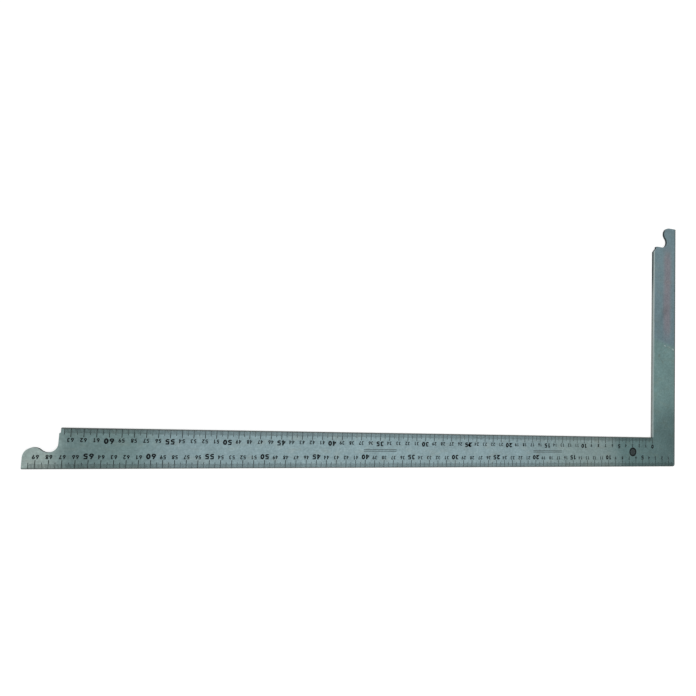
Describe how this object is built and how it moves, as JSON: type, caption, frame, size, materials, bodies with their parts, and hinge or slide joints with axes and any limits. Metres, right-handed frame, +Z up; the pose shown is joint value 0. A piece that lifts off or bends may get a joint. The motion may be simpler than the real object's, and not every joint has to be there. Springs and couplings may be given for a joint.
{
  "type": "steel square ruler",
  "caption": "Flat steel L-square with a long graduated leg and a short plain leg, each ending in an ogee tip.",
  "frame": {"origin": "under the middle of the bounding box, on the plane the square lies on", "axes": "+X along the long leg from its tip to the corner, +Y along the short leg from the corner to its tip, +Z up out of the graduated face"},
  "size_m": [0.7, 0.3, 0.0025],
  "materials": {
    "steel": "fine ground, satin, with black-filled etched graduations"
  },
  "bodies": {
    "root": {"long_leg": "steel", "short_leg": "steel"}
  },
  "joints": []
}
